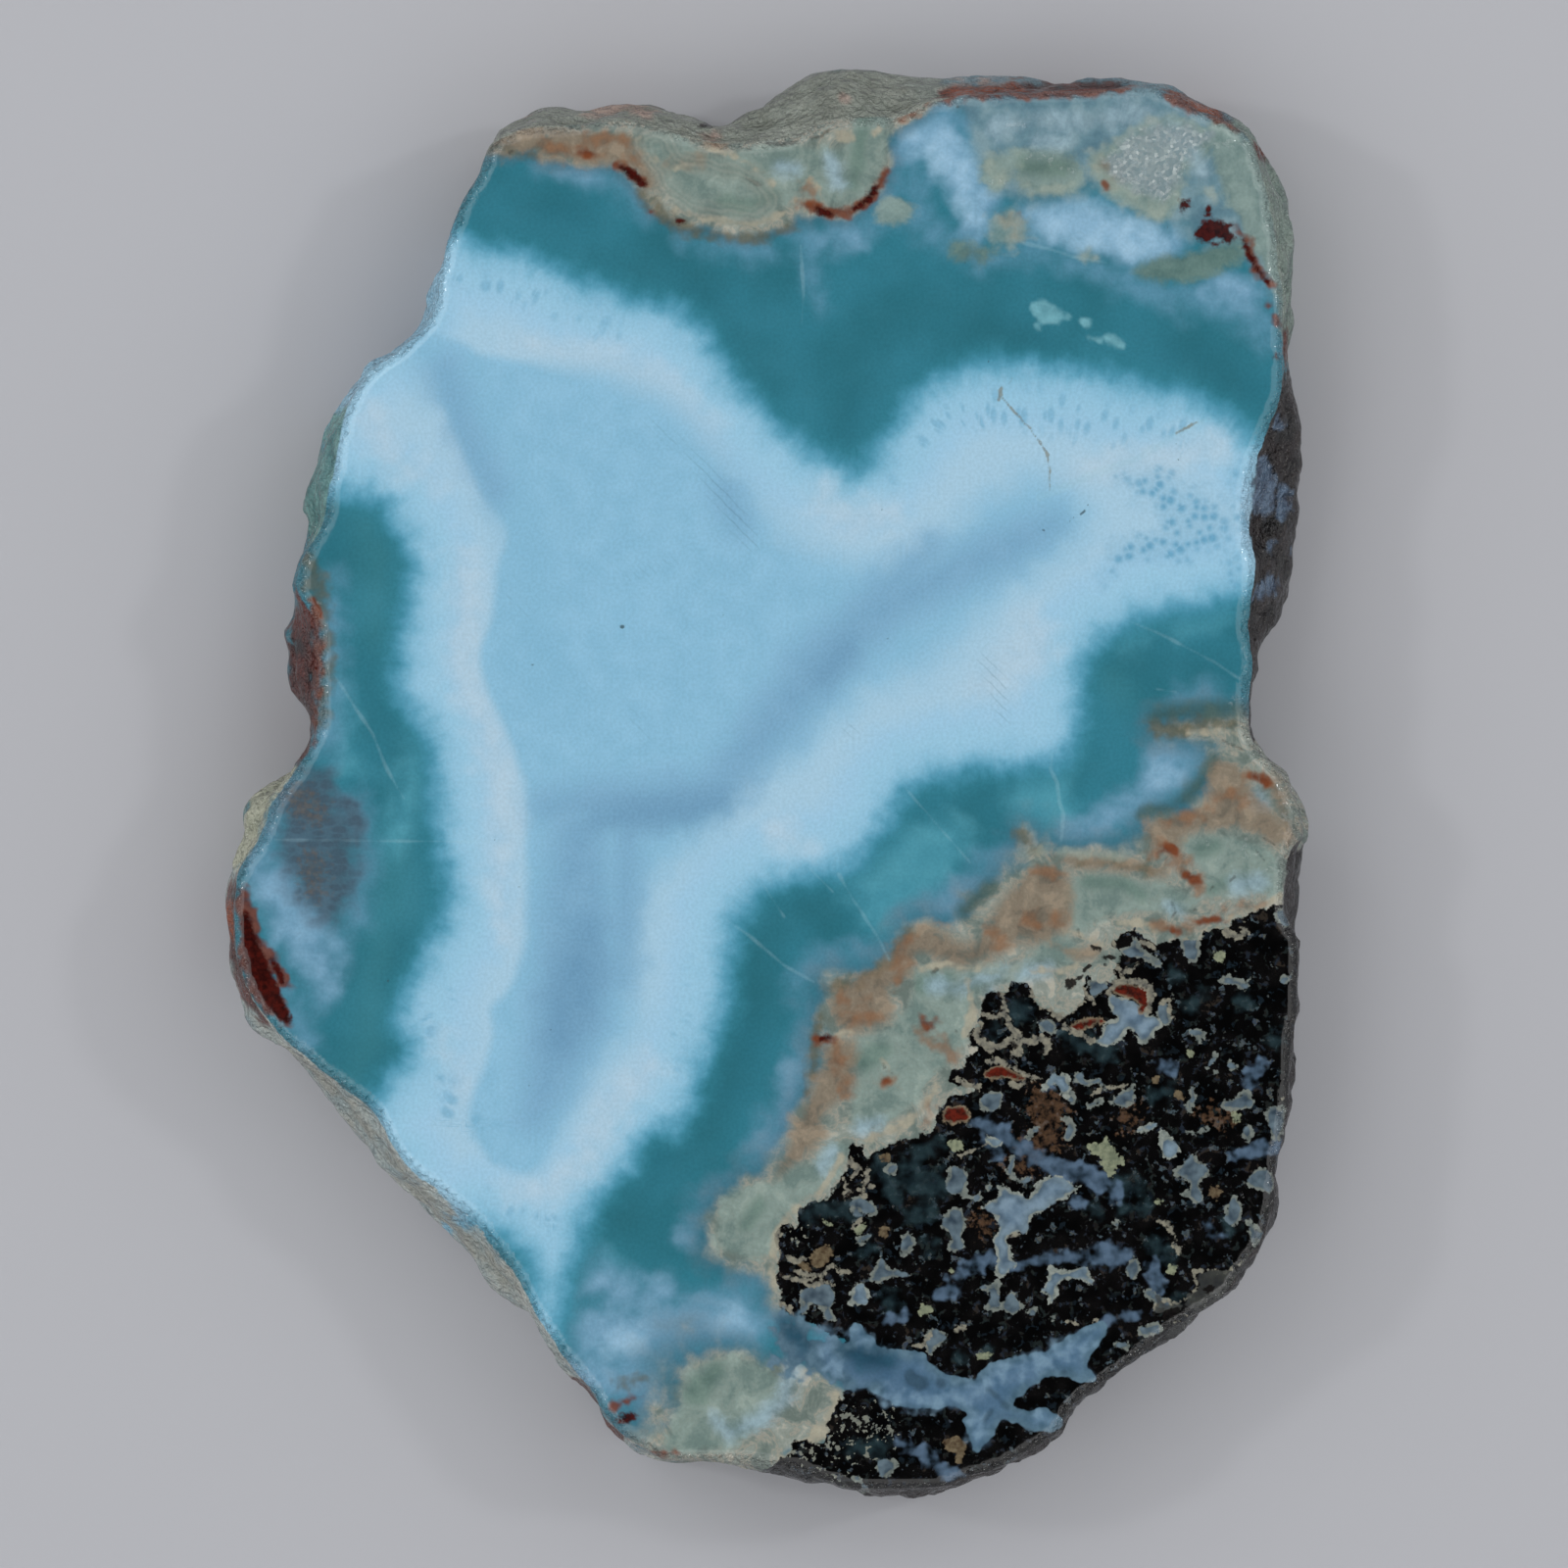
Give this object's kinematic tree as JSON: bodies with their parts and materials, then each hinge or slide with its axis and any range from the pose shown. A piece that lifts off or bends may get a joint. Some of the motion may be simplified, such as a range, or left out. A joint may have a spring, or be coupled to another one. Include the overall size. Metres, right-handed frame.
{
  "type": "rough larimar slab",
  "caption": "Flat slab of blue larimar with wall rock at its edges: two sawn faces and a rough, lumpy natural rim, lying on its back.",
  "frame": {"origin": "middle of the slab's box, on the surface that its sawn back rests on", "axes": "+Z out of the show face, +Y along the slab's length towards its top edge, +X to the right seen from above"},
  "size_m": [0.0694, 0.0918, 0.011],
  "materials": {
    "larimar": "wet gloss on the sawn show face, duller on the sawn back, rough on the rim"
  },
  "bodies": {
    "root": {"larimar_slab": "larimar"}
  },
  "joints": []
}
